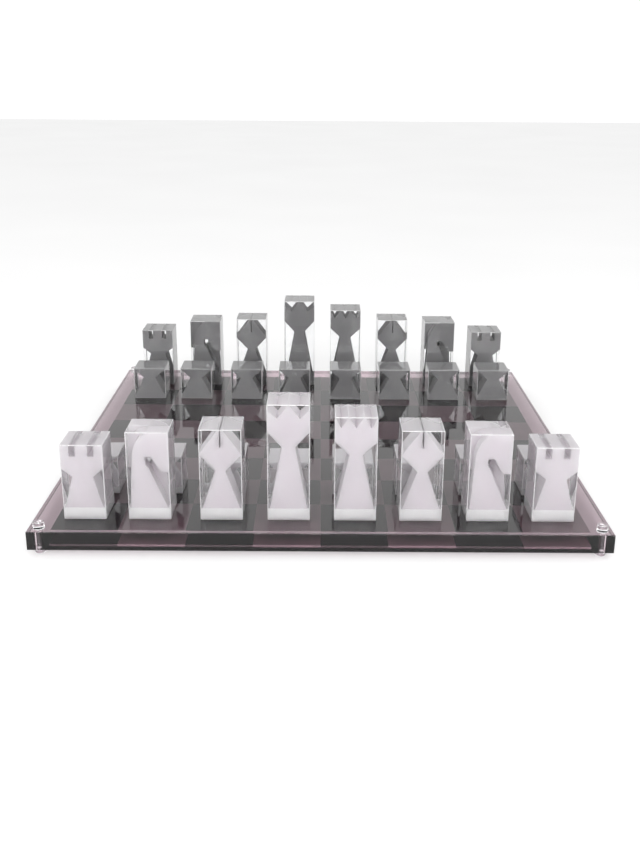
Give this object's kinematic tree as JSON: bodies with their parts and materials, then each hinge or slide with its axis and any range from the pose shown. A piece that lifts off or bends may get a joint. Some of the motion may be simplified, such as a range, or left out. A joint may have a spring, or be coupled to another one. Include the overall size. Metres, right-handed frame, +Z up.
{
  "type": "chess set with board",
  "caption": "Square smoked acrylic chess board on corner feet, with frosted and graphite playing pieces, each a clear block around a flat cut figure.",
  "frame": {"origin": "Middle of the board on the plane of its four foot faces, the surface that it stands on.", "axes": "+Z up out of the playing face; +Y from the white set towards the dark set; +X to the right as the white player sits."},
  "size_m": [0.381, 0.381, 0.0972],
  "materials": {
    "smoke_acrylic": "polished, transparent smoke tint",
    "pale_tile": "satin, translucent",
    "dark_tile": "satin, nearly opaque",
    "clear_acrylic": "polished, clear",
    "frosted_figure": "polished outside over a milky white body",
    "graphite_figure": "polished outside over a dark grey body"
  },
  "bodies": {
    "board": {"slab": "smoke_acrylic", "pale_tiles": "pale_tile", "dark_tiles": "dark_tile", "peg_front_left": "clear_acrylic", "peg_front_right": "clear_acrylic", "peg_back_left": "clear_acrylic", "peg_back_right": "clear_acrylic", "foot_front_left": "clear_acrylic", "foot_front_right": "clear_acrylic", "foot_back_left": "clear_acrylic", "foot_back_right": "clear_acrylic"},
    "white_rook_a": {"white_rook_a_figure": "frosted_figure", "white_rook_a_infill": "clear_acrylic"},
    "white_knight_b": {"white_knight_b_figure": "frosted_figure", "white_knight_b_infill": "clear_acrylic"},
    "white_bishop_c": {"white_bishop_c_figure": "frosted_figure", "white_bishop_c_infill": "clear_acrylic"},
    "white_king": {"white_king_figure": "frosted_figure", "white_king_infill": "clear_acrylic"},
    "white_queen": {"white_queen_figure": "frosted_figure", "white_queen_infill": "clear_acrylic"},
    "white_bishop_f": {"white_bishop_f_figure": "frosted_figure", "white_bishop_f_infill": "clear_acrylic"},
    "white_knight_g": {"white_knight_g_figure": "frosted_figure", "white_knight_g_infill": "clear_acrylic"},
    "white_rook_h": {"white_rook_h_figure": "frosted_figure", "white_rook_h_infill": "clear_acrylic"},
    "white_pawn_a": {"white_pawn_a": "frosted_figure"},
    "white_pawn_b": {"white_pawn_b": "frosted_figure"},
    "white_pawn_c": {"white_pawn_c": "frosted_figure"},
    "white_pawn_d": {"white_pawn_d": "frosted_figure"},
    "white_pawn_e": {"white_pawn_e": "frosted_figure"},
    "white_pawn_f": {"white_pawn_f": "frosted_figure"},
    "white_pawn_g": {"white_pawn_g": "frosted_figure"},
    "white_pawn_h": {"white_pawn_h": "frosted_figure"},
    "dark_rook_a": {"dark_rook_a_figure": "graphite_figure", "dark_rook_a_infill": "clear_acrylic"},
    "dark_knight_b": {"dark_knight_b_figure": "graphite_figure", "dark_knight_b_infill": "clear_acrylic"},
    "dark_bishop_c": {"dark_bishop_c_figure": "graphite_figure", "dark_bishop_c_infill": "clear_acrylic"},
    "dark_king": {"dark_king_figure": "graphite_figure", "dark_king_infill": "clear_acrylic"},
    "dark_queen": {"dark_queen_figure": "graphite_figure", "dark_queen_infill": "clear_acrylic"},
    "dark_bishop_f": {"dark_bishop_f_figure": "graphite_figure", "dark_bishop_f_infill": "clear_acrylic"},
    "dark_knight_g": {"dark_knight_g_figure": "graphite_figure", "dark_knight_g_infill": "clear_acrylic"},
    "dark_rook_h": {"dark_rook_h_figure": "graphite_figure", "dark_rook_h_infill": "clear_acrylic"},
    "dark_pawn_a": {"dark_pawn_a": "graphite_figure"},
    "dark_pawn_b": {"dark_pawn_b": "graphite_figure"},
    "dark_pawn_c": {"dark_pawn_c": "graphite_figure"},
    "dark_pawn_d": {"dark_pawn_d": "graphite_figure"},
    "dark_pawn_e": {"dark_pawn_e": "graphite_figure"},
    "dark_pawn_f": {"dark_pawn_f": "graphite_figure"},
    "dark_pawn_g": {"dark_pawn_g": "graphite_figure"},
    "dark_pawn_h": {"dark_pawn_h": "graphite_figure"}
  },
  "joints": [
    {"name": "white_rook_a_lift", "type": "slide", "parent": "board", "child": "white_rook_a", "axis": [0, 0, 1], "range_m": [0, 0.1]},
    {"name": "white_knight_b_lift", "type": "slide", "parent": "board", "child": "white_knight_b", "axis": [0, 0, 1], "range_m": [0, 0.1]},
    {"name": "white_bishop_c_lift", "type": "slide", "parent": "board", "child": "white_bishop_c", "axis": [0, 0, 1], "range_m": [0, 0.1]},
    {"name": "white_king_lift", "type": "slide", "parent": "board", "child": "white_king", "axis": [0, 0, 1], "range_m": [0, 0.1]},
    {"name": "white_queen_lift", "type": "slide", "parent": "board", "child": "white_queen", "axis": [0, 0, 1], "range_m": [0, 0.1]},
    {"name": "white_bishop_f_lift", "type": "slide", "parent": "board", "child": "white_bishop_f", "axis": [0, 0, 1], "range_m": [0, 0.1]},
    {"name": "white_knight_g_lift", "type": "slide", "parent": "board", "child": "white_knight_g", "axis": [0, 0, 1], "range_m": [0, 0.1]},
    {"name": "white_rook_h_lift", "type": "slide", "parent": "board", "child": "white_rook_h", "axis": [0, 0, 1], "range_m": [0, 0.1]},
    {"name": "white_pawn_a_lift", "type": "slide", "parent": "board", "child": "white_pawn_a", "axis": [0, 0, 1], "range_m": [0, 0.1]},
    {"name": "white_pawn_b_lift", "type": "slide", "parent": "board", "child": "white_pawn_b", "axis": [0, 0, 1], "range_m": [0, 0.1]},
    {"name": "white_pawn_c_lift", "type": "slide", "parent": "board", "child": "white_pawn_c", "axis": [0, 0, 1], "range_m": [0, 0.1]},
    {"name": "white_pawn_d_lift", "type": "slide", "parent": "board", "child": "white_pawn_d", "axis": [0, 0, 1], "range_m": [0, 0.1]},
    {"name": "white_pawn_e_lift", "type": "slide", "parent": "board", "child": "white_pawn_e", "axis": [0, 0, 1], "range_m": [0, 0.1]},
    {"name": "white_pawn_f_lift", "type": "slide", "parent": "board", "child": "white_pawn_f", "axis": [0, 0, 1], "range_m": [0, 0.1]},
    {"name": "white_pawn_g_lift", "type": "slide", "parent": "board", "child": "white_pawn_g", "axis": [0, 0, 1], "range_m": [0, 0.1]},
    {"name": "white_pawn_h_lift", "type": "slide", "parent": "board", "child": "white_pawn_h", "axis": [0, 0, 1], "range_m": [0, 0.1]},
    {"name": "dark_rook_a_lift", "type": "slide", "parent": "board", "child": "dark_rook_a", "axis": [0, 0, 1], "range_m": [0, 0.1]},
    {"name": "dark_knight_b_lift", "type": "slide", "parent": "board", "child": "dark_knight_b", "axis": [0, 0, 1], "range_m": [0, 0.1]},
    {"name": "dark_bishop_c_lift", "type": "slide", "parent": "board", "child": "dark_bishop_c", "axis": [0, 0, 1], "range_m": [0, 0.1]},
    {"name": "dark_king_lift", "type": "slide", "parent": "board", "child": "dark_king", "axis": [0, 0, 1], "range_m": [0, 0.1]},
    {"name": "dark_queen_lift", "type": "slide", "parent": "board", "child": "dark_queen", "axis": [0, 0, 1], "range_m": [0, 0.1]},
    {"name": "dark_bishop_f_lift", "type": "slide", "parent": "board", "child": "dark_bishop_f", "axis": [0, 0, 1], "range_m": [0, 0.1]},
    {"name": "dark_knight_g_lift", "type": "slide", "parent": "board", "child": "dark_knight_g", "axis": [0, 0, 1], "range_m": [0, 0.1]},
    {"name": "dark_rook_h_lift", "type": "slide", "parent": "board", "child": "dark_rook_h", "axis": [0, 0, 1], "range_m": [0, 0.1]},
    {"name": "dark_pawn_a_lift", "type": "slide", "parent": "board", "child": "dark_pawn_a", "axis": [0, 0, 1], "range_m": [0, 0.1]},
    {"name": "dark_pawn_b_lift", "type": "slide", "parent": "board", "child": "dark_pawn_b", "axis": [0, 0, 1], "range_m": [0, 0.1]},
    {"name": "dark_pawn_c_lift", "type": "slide", "parent": "board", "child": "dark_pawn_c", "axis": [0, 0, 1], "range_m": [0, 0.1]},
    {"name": "dark_pawn_d_lift", "type": "slide", "parent": "board", "child": "dark_pawn_d", "axis": [0, 0, 1], "range_m": [0, 0.1]},
    {"name": "dark_pawn_e_lift", "type": "slide", "parent": "board", "child": "dark_pawn_e", "axis": [0, 0, 1], "range_m": [0, 0.1]},
    {"name": "dark_pawn_f_lift", "type": "slide", "parent": "board", "child": "dark_pawn_f", "axis": [0, 0, 1], "range_m": [0, 0.1]},
    {"name": "dark_pawn_g_lift", "type": "slide", "parent": "board", "child": "dark_pawn_g", "axis": [0, 0, 1], "range_m": [0, 0.1]},
    {"name": "dark_pawn_h_lift", "type": "slide", "parent": "board", "child": "dark_pawn_h", "axis": [0, 0, 1], "range_m": [0, 0.1]}
  ]
}
